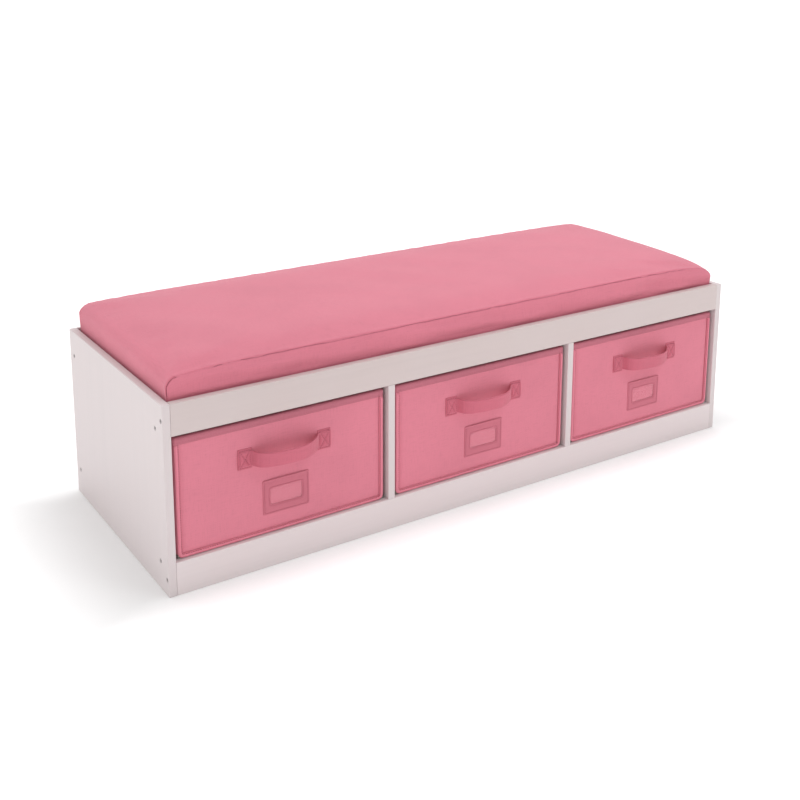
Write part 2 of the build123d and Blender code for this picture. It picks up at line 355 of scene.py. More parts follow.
def painted(name, colour, grain, seed):
    """White paint over a board, with faint streaks of grain along the given axis and worn, greyer edges."""
    maker = Maker(name, colour, 0.5, Specular_IOR_Level=0.4, Coat_Weight=0.06, Coat_Roughness=0.35)
    place = maker.place()
    fine, broad = [260.0] * 3, [38.0] * 3
    axis = "XYZ".index(grain)
    fine[axis], broad[axis] = 5.0, 1.6
    shift = maker.add("ShaderNodeVectorMath", operation="ADD")
    maker.feed(shift.inputs[0], place)
    shift.inputs[1].default_value = (seed * 1.37, seed * 2.11, seed * 0.73)
    streaks = maker.noise(maker.scaled(shift.outputs[0], fine), 1.0, 4.0, 0.62)
    bands = maker.noise(maker.scaled(shift.outputs[0], broad), 1.0, 3.0, 0.55)
    clouds = maker.noise(shift.outputs[0], 7.0, 2.0)
    both = maker.math("MULTIPLY_ADD", bands, 0.6, maker.math("MULTIPLY", streaks, 0.4))
    dark, dull, bright = tone(colour, 0.945), tone(colour, 0.985), tone(colour, 1.02)
    grainy = maker.colours(both, (0.30, dark), (0.46, dull), (0.60, colour), (0.8, bright))
    tinted = maker.mix(maker.spread(clouds, 0.0, 0.22), grainy, (0.74, 0.70, 0.735))
    worn = maker.add("ShaderNodeNewGeometry").outputs["Pointiness"]
    edge = maker.colours(worn, (0.50, (0, 0, 0)), (0.56, (1, 1, 1)))
    colour_out = maker.mix(maker.math("MULTIPLY", edge, 0.12), tinted, (0.62, 0.58, 0.57))
    rough = maker.spread(both, 0.40, 0.62)
    return maker.done(colour_out, rough, maker.bump(both, 0.25 * MM, 0.6))


WHITE = (0.74, 0.655, 0.655)
PINK = (0.79, 0.24, 0.315)
BIN_PINK = (0.79, 0.25, 0.325)
WEB_PINK = (0.69, 0.175, 0.24)

# Painted light: the bottom rail, seat panel and shelf are painted lighter than the uprights, standing in for
# light on the bottom rail.
paint_along_lit = painted("Paint_grain_x_lit", tone(WHITE, 1.11), "X", 1)
# Painted shade: the front top rail's paint is darker than the other boards', standing in for shade on it.
paint_rail_shaded = painted("Paint_top_rail_shaded", (0.665, 0.555, 0.535), "X", 4)
paint_upright = painted("Paint_grain_z", WHITE, "Z", 2)
paint_back = painted("Paint_back", tone(WHITE, 0.97), "X", 3)


def metal(name, colour, roughness, metallic):
    maker = Maker(name, colour, roughness, Metallic=metallic)
    place = maker.place()
    speckle = maker.noise(place, 900.0, 3.0, 0.6)
    turned = maker.noise(place, 2600.0, 2.0)
    shade = maker.colours(speckle, (0.35, tone(colour, 0.86)), (0.6, colour), (0.8, tone(colour, 1.06)))
    rough = maker.spread(speckle, roughness - 0.1, roughness + 0.12)
    return maker.done(shade, rough, maker.bump(turned, 0.05 * MM, 0.5))


def timber(name, colour):
    maker = Maker(name, colour, 0.75)
    place = maker.scaled(maker.place(), (900.0, 30.0, 900.0))
    streaks = maker.noise(place, 1.0, 4.0, 0.6)
    shade = maker.colours(streaks, (0.3, tone(colour, 0.7)), (0.55, colour), (0.75, tone(colour, 1.12)))
    return maker.done(shade, maker.spread(streaks, 0.65, 0.85), maker.bump(streaks, 0.1 * MM))


def greyboard(name, colour):
    maker = Maker(name, colour, 0.9)
    place = maker.place()
    fibre = maker.noise(maker.scaled(place, (700.0, 260.0, 700.0)), 1.0, 4.0, 0.65)
    specks = maker.noise(place, 1400.0, 2.0, 0.5)
    shade = maker.colours(fibre, (0.3, tone(colour, 0.82)), (0.55, colour), (0.8, tone(colour, 1.1)))
    dotted = maker.mix(maker.spread(specks, 0.0, 0.3), shade, (0.2, 0.17, 0.14))
    return maker.done(dotted, maker.spread(fibre, 0.8, 0.98), maker.bump(fibre, 0.12 * MM))


cushion_cloth = woven("Cushion_cloth", PINK, 0.75 * MM, 0.10 * MM, sheen=0.28, mottle=0.035)
bin_cloth = woven("Bin_cloth", BIN_PINK, 0.65 * MM, 0.08 * MM, sheen=0.22, mottle=0.05)
binding_cloth = woven("Binding_cloth", tone(BIN_PINK, 1.06), 0.5 * MM, 0.07 * MM, sheen=0.28)
# Painted shade: the rim binding's cloth is tinted darker, standing in for the top rail's shadow on the bins'
# top edge.
rim_cloth_shaded = woven("Rim_cloth_shaded", tone(BIN_PINK, 0.72), 0.5 * MM, 0.07 * MM, sheen=0.15)
lining_cloth = woven("Lining_cloth", (0.70, 0.30, 0.36), 0.5 * MM, 0.05 * MM, sheen=0.1, mottle=0.06)
webbing = woven("Webbing", WEB_PINK, 1.1 * MM, 0.28 * MM, sheen=0.2, rib=1.9, mottle=0.04)
patch_cloth = woven("Patch_webbing", tone(WEB_PINK, 0.98), 0.8 * MM, 0.16 * MM, sheen=0.2)
label_cloth = woven("Label_cloth", (0.65, 0.19, 0.25), 0.5 * MM, 0.06 * MM, sheen=0.2)
thread = woven("Thread", (0.46, 0.105, 0.155), 0.35 * MM, 0.08 * MM, sheen=0.15, roughness=0.7)
# Partly painted shade: the cushion's seam thread is dark, and also stands in for the shade in the seams'
# ditches.
cushion_thread_and_shade = woven("Cushion_thread_and_shade", (0.42, 0.10, 0.15), 0.35 * MM, 0.08 * MM, sheen=0.2, roughness=0.7)
zip_tape = woven("Zip_tape", (0.62, 0.19, 0.24), 0.6 * MM, 0.12 * MM, sheen=0.1)


def finish(names, material):
    """Gives CAD nodes that are shown as they are their material."""
    for name in names:
        nodes[name].data.materials.clear()
        nodes[name].data.materials.append(material)


# Painted light: these boards get the lighter paint.
finish(("front_bottom_rail", "seat_panel", "bottom_shelf"), paint_along_lit)
# Painted shade: the front top rail gets the darker paint.
finish(("front_top_rail",), paint_rail_shaded)
finish(("end_panel_left", "end_panel_right", "divider_left", "divider_right"), paint_upright)
finish(("back_panel",), paint_back)
finish(("end_screws_left", "end_screws_right"), metal("Painted_screw", (0.46, 0.43, 0.43), 0.4, 0.35))
zinc = metal("Zinc", (0.62, 0.63, 0.65), 0.32, 1.0)
finish(("divider_screws_upper", "divider_screws_lower", "back_panel_nails"), zinc)
finish(("seat_rail_dowels", "shelf_rail_dowels"), timber("Beech", (0.62, 0.42, 0.24)))
board_names = [f"bin_{bay}_{board}" for bay in BAYS for board in ("wall_boards", "base_board")]
finish(board_names, greyboard("Greyboard", (0.42, 0.37, 0.31)))


def clear_film():
    """The label window's clear sheet: it shows the cloth behind it, with a soft gloss."""
    maker = Maker("Clear_film", (0.90, 0.48, 0.54), 0.3, Alpha=0.06, Specular_IOR_Level=0.3)
    scuffs = maker.noise(maker.scaled(maker.place(), (160.0, 160.0, 900.0)), 1.0, 4.0, 0.6)
    return maker.done(None, maker.spread(scuffs, 0.25, 0.45), maker.bump(scuffs, 0.01 * MM, 0.4))


film = clear_film()


# ---------------------------------------------------------------- cushion

cover_lo, cover_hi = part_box("cushion_cover")
rail_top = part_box("front_top_rail")[1].z
CUSHION_HALF = cover_hi.x
CUSHION_FRONT, CUSHION_BACK = cover_lo.y, cover_hi.y
CUSHION_DEPTH = CUSHION_BACK - CUSHION_FRONT
CUSHION_UNDER = cover_lo.z
CUSHION_TALL = cover_hi.z - cover_lo.z
CUSHION_STEP = 9 * MM  # the simulated cage's spacing
FILL = 3.5 * MM  # the most that the filling moves the cover
PANEL_GAP = 0.3 * MM  # least room between the cushion and the boards round it


def seam_height(x, y):
    """The height of the seams along the cushion's top edges; they drop at the corners, more at the right."""
    reach = CUSHION_HALF - np.abs(x)
    behind = np.clip((y - CUSHION_FRONT) / CUSHION_DEPTH, 0, 1)
    at_front = np.exp(-np.clip(y - CUSHION_FRONT, 0, None) / 0.06)
    drop = np.where(x < 0, 3.5 + 3.0 * at_front, 3.5 + 7.5 * at_front) * MM * np.exp(-reach / 0.034)
    return CUSHION_UNDER + (72.4 + 8.0 * behind) * MM + 1.6 * MM * np.sin(x * 2.4 + 0.3) - drop


def crown(x, y):
    """The cushion's top, above the straight line between its seams."""
    edge = np.clip(np.minimum(y - CUSHION_FRONT, CUSHION_BACK - y), 0, None)
    end = np.clip(CUSHION_HALF - np.abs(x), 0, None)
    rise = 6.0 * MM * (1 - np.exp(-edge / 0.020)) * (1 - 0.5 * np.exp(-end / 0.09))
    middle = 1.5 * MM * np.sin(math.pi * np.clip(edge / CUSHION_DEPTH, 0, 0.5))
    return rise + middle


def rounding(radius, share):
    """How far a rounded edge has drawn in, from 0 where the round starts to its radius."""
    return radius * (1 - np.sqrt(1 - share**2))


def warp(shares):
    """Shares of the cushion's box (x -1 to 1, y and z 0 to 1), on its surface, to places in the frame."""
    x, y, z = shares[:, 0], shares[:, 1], shares[:, 2]
    plain_x, plain_y = x * CUSHION_HALF, CUSHION_FRONT + y * CUSHION_DEPTH
    top = seam_height(plain_x, plain_y) + crown(plain_x, plain_y)
    height = CUSHION_UNDER + z * (top - CUSHION_UNDER)
    end_r, foot_r, corner_r = 15 * MM, 5 * MM, 5 * MM
    over = 0.97 * np.clip(1 - (top - height) / end_r, 0, 1)
    below = np.clip(1 - (height - CUSHION_UNDER) / foot_r, 0, 1)
    pull_foot = rounding(foot_r, below)
    # Above the boards the filling pushes the cushion's sides out over them.
    above = np.clip((height - rail_top) / (12 * MM), 0, 1)
    swell = (1.3 + 0.9 * above) * MM * np.clip((top - height) / (12 * MM), 0, 1)
    # Only the last stretch before each end is drawn in, so the rest keeps its place.
    near_end = np.clip((np.abs(plain_x) - (CUSHION_HALF - 0.12)) / 0.12, 0, 1) ** 2
    out_x = plain_x + np.sign(x) * near_end * (swell - rounding(end_r, over) - pull_foot)
    edge = np.abs(2 * y - 1)
    near_band = np.clip((edge - 0.75) / 0.25, 0, 1) ** 2
    reach = np.clip(1 - (CUSHION_HALF - np.abs(plain_x)) / corner_r, 0, 1)
    pull_corner = rounding(corner_r, reach)
    out_y = plain_y + np.sign(2 * y - 1) * near_band * (swell * 0.9 - pull_foot - 0.55 * pull_corner)
    return np.stack([out_x, out_y, height], -1)


def box_faces(xs, ys, zs):
    """The six faces of a box grid, as grids of shares."""
    grids = {}
    x, y = np.meshgrid(xs, ys, indexing="ij")
    grids["top"], grids["bottom"] = (x, y, 0 * x + 1), (x, y, 0 * x)
    x, z = np.meshgrid(xs, zs, indexing="ij")
    grids["front"], grids["back"] = (x, 0 * x, z), (x, 0 * x + 1, z)
    y, z = np.meshgrid(ys, zs, indexing="ij")
    grids["left"], grids["right"] = (0 * y - 1, y, z), (0 * y + 1, y, z)
    return grids


def box_grid(xs, ys, zs):
    """A closed box grid: every vertex's shares once, and each face as a grid of vertex numbers."""
    shares, number, faces = [], {}, {}
    for name, grids in box_faces(xs, ys, zs).items():
        keys = np.round(np.stack(grids, -1), 9)
        faces[name] = np.zeros(keys.shape[:2], int)
        for spot in np.ndindex(keys.shape[:2]):
            key = tuple(keys[spot].tolist())
            if key not in number:
                number[key] = len(shares)
                shares.append(key)
            faces[name][spot] = number[key]
    return np.array(shares), faces


def catmull(values, places):
    """Values on an even grid along axis 0, read between its points on smooth curves."""
    n = len(values) - 1
    at = np.clip(places * n, 0, n)
    i = np.clip(np.floor(at).astype(int), 0, n - 1)
    t = (at - i)[:, None, None]
    line = np.concatenate([2 * values[:1] - values[1:2], values, 2 * values[-1:] - values[-2:-1]])
    before, a, b, after = line[i], line[i + 1], line[i + 2], line[i + 3]
    bend = (2 * before - 5 * a + 4 * b - after) * t**2 + (3 * a - before - 3 * b + after) * t**3
    return 0.5 * (2 * a + (b - before) * t + bend)


def filled(shares, faces):
    """Runs the cushion's cover under pressure from inside, and gives each vertex's move."""
    start = warp(shares)
    mesh = bpy.data.meshes.new("Cushion_cage")
    quads = np.concatenate([quads_of(ids) for ids in faces.values()])
    mesh.from_pydata(start.tolist(), [], quads.tolist())
    bm = bmesh.new()
    bm.from_mesh(mesh)
    bmesh.ops.recalc_face_normals(bm, faces=bm.faces)
    bm.to_mesh(mesh)
    bm.free()
    cage = placed("Cushion_cage", mesh)
    held = cage.vertex_groups.new(name="held")
    held.add([int(i) for i in np.flatnonzero(shares[:, 2] == 0)], 1.0, "REPLACE")
    cloth = cage.modifiers.new("Cloth", "CLOTH")
    settings = cloth.settings
    settings.quality = 6
    settings.mass = 0.25
    settings.use_pressure = True
    settings.uniform_pressure_force = 4.0
    settings.tension_stiffness = 12
    settings.compression_stiffness = 12
    settings.shear_stiffness = 4
    settings.bending_stiffness = 0.4
    settings.effector_weights.gravity = 0
    settings.vertex_group_mass = "held"
    scene = bpy.context.scene
    for step in range(1, 21):
        scene.frame_set(step)
    moved = cage.evaluated_get(bpy.context.evaluated_depsgraph_get())
    end = np.zeros(len(start) * 3)
    moved.data.vertices.foreach_get("co", end)
    scene.frame_set(1)
    bpy.data.objects.remove(cage)
    bpy.data.meshes.remove(mesh)
    shift = end.reshape(-1, 3) - start
    size = np.linalg.norm(shift, axis=1)[:, None]
    return shift * FILL * np.tanh(size / FILL) / np.maximum(size, 1e-9)


def close_at_ends(length, count, fine, fine_count):
    """Shares from 0 to 1 along a side: closely spaced near both ends, where the seams are."""
    close = np.cumsum([0] + [fine * 1.35**k for k in range(fine_count)]) / length
    middle = np.linspace(close[-1], 1 - close[-1], count)
    return np.concatenate([close[:-1], middle, (1 - close)[::-1][1:]])


def facings(points, quads):
    a, b, c, d = (points[quads[:, k]] for k in range(4))
    return np.cross(c - a, d - b)


def outward(points, quads):
    """A closed mesh's vertex normals."""
    facing = facings(points, quads)
    normals = np.zeros_like(points)
    for k in range(4):
        np.add.at(normals, quads[:, k], facing)
    normals /= np.linalg.norm(normals, axis=1)[:, None] + 1e-12
    away = points - points.mean(0)
    return normals * np.sign((normals * away).sum())


def dressed(points, shares, normals):
    """Adds what the filling can't: the seams' ditches, the puckers that stitches pull, and soft creases."""
    x, y, z = shares.T
    width, depth, tall = 2 * CUSHION_HALF, CUSHION_DEPTH, CUSHION_TALL
    on_band = (y == 0) | (y == 1)
    along = x * width / 2 + np.sign(x) * (1 - z) * tall * (np.abs(x) == 1)
    to_band = np.minimum(y, 1 - y) * depth
    to_edge = np.minimum((1 - z) * tall, (1 - np.abs(x)) * width / 2)
    away = np.where(on_band, to_edge, to_band)

    def by_seam(across, front_seed, back_seed, longest, shortest):
        """An unevenness of its own along each of the two seams."""
        front, back = (ripple(along, across, seed, longest, shortest, 9) for seed in (front_seed, back_seed))
        return np.where(y > 0.5, back, front)

    tight = by_seam(0 * along, 11, 12, 0.05, 0.014)
    wrap_pucker = 0.6 * MM * tight * np.exp(-away / (9 * MM))
    soft = 0.55 * MM * ripple(along, y * depth, 21, 0.36, 0.09) * (1 - np.exp(-away / (20 * MM)))
    ridge = 0.6 * MM * np.exp(-(((away - 4 * MM) / (2.6 * MM)) ** 2))
    wrap = wrap_pucker * (1 - np.exp(-away / (1.2 * MM))) + soft + ridge
    slack = by_seam(z * tall * 0.35, 31, 37, 0.085, 0.022)
    long_folds = ripple(along * 0.35, z * tall * 1.8, 33, 0.11, 0.04, 6)
    near_seam = 0.7 * MM * slack * np.exp(-away / (16 * MM))
    further = 2.4 * MM * long_folds * np.clip(away / (14 * MM), 0, 1)
    band = (near_seam + further) * (1 - np.exp(-away / (1.5 * MM)))
    clear = np.clip((points[:, 2] - rail_top) / (6 * MM), 0, 1)
    height = np.where(on_band, band * clear, wrap * np.where(np.abs(x) == 1, clear, 1.0))
    height = np.where(z == 0, 0, height)
    ditch = 1.9 * MM * np.exp(-((away / (0.9 * MM)) ** 2)) * np.clip(z * tall / (10 * MM), 0, 1)
    return points + normals * (height - ditch)[:, None]


def flat_lengths(name, grids):
    """Each panel's own flat lengths; the long panel's run on round the ends."""
    x, y, z = grids
    if name in ("left", "right"):
        return np.stack([x * (CUSHION_HALF + (1 - z) * CUSHION_TALL), y * CUSHION_DEPTH], -1)
    if name in ("front", "back"):
        return np.stack([x * CUSHION_HALF, z * CUSHION_TALL + 2], -1)
    return np.stack([x * CUSHION_HALF, y * CUSHION_DEPTH], -1)


PANEL_AXES = {"top": (0, 1), "front": (0, 2), "left": (1, 2)}
PANEL_AXES.update({"bottom": PANEL_AXES["top"], "back": PANEL_AXES["front"], "right": PANEL_AXES["left"]})


def make_cushion():
    """The cushion, and the stitches in its seams."""
    width = 2 * CUSHION_HALF
    counts = [max(4, int(round(size / CUSHION_STEP))) for size in (width, CUSHION_DEPTH, CUSHION_TALL)]
    even = [np.linspace(0, 1, count + 1) for count in counts]
    fine = [
        close_at_ends(width, 210, 0.7 * MM, 9),
        close_at_ends(CUSHION_DEPTH, 72, 0.7 * MM, 9),
        close_at_ends(CUSHION_TALL, 18, 0.7 * MM, 7),
    ]
    shares, faces = box_grid(fine[0] * 2 - 1, fine[1], fine[2])
    points = warp(shares)
    cage_shares, cage_faces = box_grid(even[0] * 2 - 1, even[1], even[2])
    moves = filled(cage_shares, cage_faces)
    shift = np.zeros_like(points)
    for name, (first, second) in PANEL_AXES.items():
        grown = catmull(moves[cage_faces[name]], fine[first])
        grown = catmull(grown.swapaxes(0, 1), fine[second]).swapaxes(0, 1)
        shift[faces[name]] = grown
    points = points + shift
    quads = {name: quads_of(ids) for name, ids in faces.items()}
    points = dressed(points, shares, outward(points, orient(points, quads)))
    points = kept_clear(points)
    shape = Shape()
    for name, grids in box_faces(fine[0] * 2 - 1, fine[1], fine[2]).items():
        shape.grid(points[faces[name]], flat_lengths(name, grids))
    return shape, cushion_seams(points, faces, outward(points, orient(points, quads)))


def cushion_seams(points, faces, normals):
    """Stitches in the seams round the front and back bands: up a corner, along the top and down again. Their
    dark thread also stands in for the shade in the seams' ditches.
    """
    seams = Shape()
    for name in ("front", "back"):
        ids = faces[name]
        shown = int(np.argmax(points[ids[0], 2] > rail_top + 2 * MM))
        path = np.concatenate([ids[0, shown:], ids[1:-1, -1], ids[-1, shown:][::-1]])
        stitch_line(seams, points[path], normals[path], 2.6 * MM, 2.5 * MM, 0.6 * MM, -0.75 * MM)
    return seams


def orient(points, quads):
    """All the box's quads, turned so that each faces away from the cushion's middle."""
    centre = points.mean(0)
    turned = []
    for ids in quads.values():
        out = (points[ids].reshape(-1, 3).mean(0) - centre) @ facings(points, ids).sum(0) > 0
        turned.append(ids if out else ids[:, ::-1])
    return np.concatenate(turned)


def kept_clear(points):
    """Holds the cushion's lower part off the boards round it."""
    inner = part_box("end_panel_right")[0].x - PANEL_GAP
    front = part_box("front_top_rail")[1].y + PANEL_GAP
    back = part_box("cushion_zip")[0].y
    low = points[:, 2] < rail_top + 1.5 * MM
    points[low, 0] = np.clip(points[low, 0], -inner, inner)
    points[low, 1] = np.clip(points[low, 1], front, back)
    points[:, 2] = np.maximum(points[:, 2], CUSHION_UNDER)
    return points


cushion_shape, seam_shape = make_cushion()
pad = cushion_shape.make("Cushion", cushion_cloth, "cushion", "cushion_cloth")
seam_shape.make("Cushion_seam_stitches", cushion_thread_and_shade, "cushion", "cushion_cloth", STITCH_WELD)
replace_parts(pad, "cushion_cover", "cushion_foam")



def make_zip():
    """The zip along the cushion's back: two woven tapes, and a coil of teeth between them."""
    lo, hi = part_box("cushion_zip")
    middle = (lo.z + hi.z) / 2
    tapes = Shape()
    xs = np.linspace(lo.x, hi.x, 180)
    turn = np.linspace(0, TAU, 13)
    flattened = np.sign(np.cos(turn)) * np.abs(np.cos(turn)) ** 0.5
    profile = np.stack([1.5 * MM * flattened, 0.28 * MM * np.sin(turn)], -1)
    for side in (-1, 1):
        path = np.stack([xs, 0 * xs + lo.y + 0.45 * MM, 0 * xs + middle + side * 2.4 * MM], -1)
        path[:, 1] += 0.12 * MM * ripple(xs, 0 * xs, 41 + side, 0.12, 0.03)
        sweep(tapes, path, (0, 0, 1.0), (0, 1.0, 0), profile)
    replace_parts(tapes.make("Cushion_zip_tapes", zip_tape, "cushion", "zip_tape"), "cushion_zip")

    teeth = Shape()
    share = np.linspace(0, 1, 2400)
    turns = share * TAU * 300
    coil = np.stack([
        lo.x + (hi.x - lo.x) * share,
        lo.y + 0.55 * MM + 0.22 * MM * np.sin(turns),
        middle + 1.0 * MM * np.cos(turns),
    ], -1)
    turn = np.linspace(0, TAU, 5)
    wire = np.stack([0.2 * MM * np.cos(turn), 0.2 * MM * np.sin(turn)], -1)
    sweep(teeth, coil, (0, 0.35, 0.94), (0.94, 0.35, 0), wire)
    teeth.make("Cushion_zip_coil", zip_tape, "cushion", "zip_tape")


make_zip()


# ---------------------------------------------------------------- bins


class Bin:
    """One fabric bin. Its places are measured from its own middle, and its front face bulges a little."""

    def __init__(self, bay, seed):
        self.bay, self.seed, self.body = bay, seed, "bin_" + bay
        lo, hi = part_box(f"bin_{bay}_cover")
        self.middle = (lo.x + hi.x) / 2
        self.half = (hi.x - lo.x) / 2
        self.front, self.back, self.under, self.top = lo.y, hi.y, lo.z, hi.z
        self.tall = self.top - self.under

    def node(self, part):
        return f"bin_{self.bay}_{part}"

    def bulge(self, t, z, most, seed):
        """How far a wall stands out: t runs from -1 to 1 along it."""
        up = np.clip((z - self.under) / self.tall, 0, 1)
        mask = (1 - np.abs(t) ** 4) * (1 - np.abs(2 * up - 1) ** 5)
        soft = ripple(t * self.half, z, self.seed + seed, 0.30, 0.07)
        return most * mask * (1 + 0.28 * soft)

    def face(self, x, z):
        """The front face's Y at x from the bin's middle and height z."""
        t = np.clip(x / self.half, -1, 1)
        out = self.bulge(t, z, 2.4 * MM, 1)
        edge = np.minimum(self.half - np.abs(x), z - self.under) - EDGING_WIDTH - 0.8 * MM
        ditch = 1.5 * MM * np.exp(-((edge / (1.3 * MM)) ** 2))
        under_hem = self.top - HEM_HEIGHT - 0.6 * MM - z
        ditch = np.maximum(ditch, 1.0 * MM * np.exp(-((under_hem / (1.3 * MM)) ** 2)))
        return self.front - out + ditch

    def on_face(self, x, z, lift=0.0):
        """Points on the front face, lifted off it by lift."""
        x, z = np.broadcast_arrays(np.asarray(x, float), np.asarray(z, float))
        return np.stack([x + self.middle, self.face(x, z) - lift, z], -1)

    def loop(self, inset, z, bulged):
        """The outline at height z, moved in by inset, with a share of the walls' bulge."""
        up = z - self.under
        # The bin's foot is rounded.
        pull = EDGING_R - math.sqrt(max(0.0, EDGING_R**2 - max(0.0, EDGING_R - up) ** 2))
        half, front, back = self.half - inset - pull, self.front + inset, self.back - inset
        r = max(0.4 * MM, CORNER_R - inset)
        arc = np.linspace(0, math.pi / 2, 5)[1:-1]
        xs = np.linspace(-(half - r), half - r, 87)
        ys = np.linspace(front + r, back - r, 49)
        out = []

        def corner(cx, cy, start):
            out.extend([(cx + r * math.cos(start + a), cy + r * math.sin(start + a)) for a in arc])

        def wall(count, start, end, most, seed):
            return bulged * self.bulge(np.linspace(start, end, count), z, most, seed)

        out.extend(zip(xs, front + (self.face(xs, z) - self.front) * bulged))
        corner(half - r, front + r, -math.pi / 2)
        out.extend(zip(half + wall(49, -1, 1, 1.8 * MM, 2), ys))
        corner(half - r, back - r, 0)
        out.extend(zip(np.linspace(half - r, r - half, 45), back + wall(45, 1, -1, 1.5 * MM, 3)))
        corner(r - half, back - r, math.pi / 2)
        out.extend(zip(-half - wall(49, 1, -1, 1.8 * MM, 4), ys[::-1]))
        corner(r - half, front + r, math.pi)
        out.append(out[0])
        flat = np.array(out, float)
        return np.stack([flat[:, 0] + self.middle, flat[:, 1], np.full(len(flat), z)], -1)

    def shell(self, outer, inner, z_out, z_in, bulged):
        """A cloth tray between two outlines, closed over its rim and across its floor."""
        near = np.array([0, 0.4, 1.0, 1.9, 3.2, 5.0, 7.0]) * MM
        top = self.top - 0.2 * MM
        rows = []

        def floor_rows(row, shares):
            middle = np.array([self.middle, (self.front + self.back) / 2, row[0, 2]])
            return [middle + (row - middle) * k for k in shares]

        z_up = np.concatenate([z_out + near, np.linspace(z_out + 9 * MM, top, 42)])
        z_down = np.concatenate([np.linspace(top, z_in + 9 * MM, 26), (z_in + near)[::-1]])
        rows += floor_rows(self.loop(outer, z_out, bulged), (0, 0.35, 0.7, 0.985))
        rows += [self.loop(outer, z, bulged) for z in z_up]
        rows += [self.loop(inner, z, bulged) for z in z_down]
        rows += floor_rows(rows[-1], (0.985, 0.7, 0.35, 0))
        return Shape().grid(np.stack(rows))

    def finished(self, shape, part, node, material, slot, weld=2e-6):
        """Makes a shape into a piece of this bin that stands for one of its CAD nodes."""
        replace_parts(shape.make(self.node(part), material, self.body, slot, weld), self.node(node))

    def make_walls(self):
        floor = self.under
        cover = self.shell(0, CLOTH, floor, floor + CLOTH, 1.0)
        self.finished(cover, "outer_cloth", "cover", bin_cloth, "bin_cloth")
        inset = CLOTH + WALL_BOARD
        lining = self.shell(inset + 0.1 * MM, inset + LINING, floor + CLOTH, floor + CLOTH + LINING, 0)
        self.finished(lining, "inner_cloth", "lining", lining_cloth, "lining_cloth")

    def make_hem(self):
        """The binding folded over the rim, a little puffed between its edge and the fold."""
        wall = CLOTH + WALL_BOARD + LINING
        low, rim = self.top - HEM_HEIGHT, self.top - 0.5 * MM
        # The profile, in mm out from the cover and up from the hem's edge: over the rim and back under.
        across = wall / MM
        outer = [(0.15, 0), (1.3, 0.2), (1.75, 1.3), (1.2, 3.0), (1.9, 5.6), (1.8, 8.4), (1.1, 10.0)]
        inner = np.array(outer[::-1]) * [-1, 1] - [across, 0]
        top = [(0.2, 10.7), (-1.2, 10.95), (-across / 2, 11.05), (1.2 - across, 10.95), (-across - 0.2, 10.7)]
        under = [(-across - 0.05, 0.4), (-across - 0.05, 9.9), (0.05, 9.9), (0.05, 0.4)]
        rows = []
        for out, up in np.concatenate([outer, top, inner, under, outer[:1]]) * MM:
            inside = out < -wall / 2
            row = self.loop(wall, rim, 0) if inside else self.loop(0, rim, 1.0)
            row = row + level_normals(row) * (out + wall if inside else out)
            along = run_lengths(row)
            wave = 0.3 * MM * ripple(along, 0 * along, self.seed + 5, 0.2, 0.05)
            wave = wave * np.clip(np.minimum(along, along[-1] - along) / 0.02, 0, 1)
            row[:, 2] = low + up + wave * (1 - up / (11 * MM))
            rows.append(row)
        # Painted shade: the rim's darker cloth stands in for the top rail's shadow.
        self.finished(Shape().grid(np.stack(rows)), "rim_binding", "hem", rim_cloth_shaded, "binding_cloth")

    def edge_path(self, inset, top, step=3 * MM):
        """Down one side of the face, round its lower corners and up the other side."""
        half, under, r = self.half - inset, self.under + inset, EDGING_R - inset
        arc = np.linspace(0, math.pi / 2, 9)
        left = [(r - half - r * math.cos(a), under + r - r * math.sin(a)) for a in arc]
        right = [(-x, z) for x, z in reversed(left)]
        return resample([(-half, top)] + left + right + [(half, top)], step)

    def make_edging(self):
        top = self.top - HEM_HEIGHT + 0.3 * MM
        stitches = Shape()
        for back in (False, True):
            path = self.edge_path(0, top)
            step = tangents(np.concatenate([path, 0 * path[:, :1]], 1))
            inward = np.stack([-step[:, 1], step[:, 0]], -1)
            width = np.concatenate([np.linspace(0, 1, 11), np.linspace(1, 0, 5)[1:]])
            puff = np.sin(np.linspace(0, math.pi, 11)) ** 0.55
            high = np.concatenate([EDGING_PUFF * puff, np.full(4, 0.05 * MM)])
            high[0] = 0.05 * MM
            along = np.arange(len(path)) * 3 * MM
            uneven = 1 + 0.10 * ripple(along, 0 * along, self.seed + 6 + back, 0.16, 0.02)
            rows = []
            for k in range(len(path)):
                offset = path[k] + inward[k] * (width * EDGING_WIDTH)[:, None]
                if back:
                    y = self.back + high * uneven[k]
                else:
                    y = self.face(offset[:, 0], offset[:, 1]) - high * uneven[k]
                    y = np.minimum(y, self.front + 0.2 * MM)
                rows.append(np.stack([offset[:, 0] + self.middle, y, offset[:, 1]], -1))
            rows = [np.repeat(rows[0].mean(0)[None], len(width), 0)] + rows
            rows += [np.repeat(rows[-1].mean(0)[None], len(width), 0)]
            edging = Shape().grid(np.stack(rows))
            name = "back_binding" if back else "front_binding"
            self.finished(edging, name, "edging", binding_cloth, "binding_cloth")
        line = self.edge_path(EDGING_WIDTH - 1.3 * MM, top - 1 * MM, 2 * MM)
        on = self.on_face(line[:, 0], line[:, 1], 1.7 * MM)
        stitch_line(stitches, on, FRONTWARD, 3.6 * MM, 3.2 * MM, 0.55 * MM)
        return stitches

    def strap_path(self):
        """The strap's middle line, seen from above, from tab end to tab end, and how far it stands out."""
        lo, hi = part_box(self.node("handle"))
        reach = self.front - lo.y - STRAP / 2
        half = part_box(self.node("handle_patches"))[1].x - self.middle
        lean = 1 + 0.06 * math.sin(self.seed)
        outline = [(-1.0, 0.0), (-0.86, 0.0), (-0.745, 0.01), (-0.715, 0.10), (-0.70, 0.28), (-0.665, 0.52),
                   (-0.56, 0.76), (-0.38, 0.93), (-0.17, 1.0 * lean), (0.03, 1.02), (0.2, 0.98),
                   (0.36, 0.86), (0.5, 0.66), (0.61, 0.40), (0.68, 0.17), (0.72, 0.03), (0.76, 0.0),
                   (0.88, 0.0), (1.0, 0.0)]
        line = smoothed([(x * (half - 1 * MM), y * reach) for x, y in outline], 3)
        return resample(line, 1.6 * MM), reach

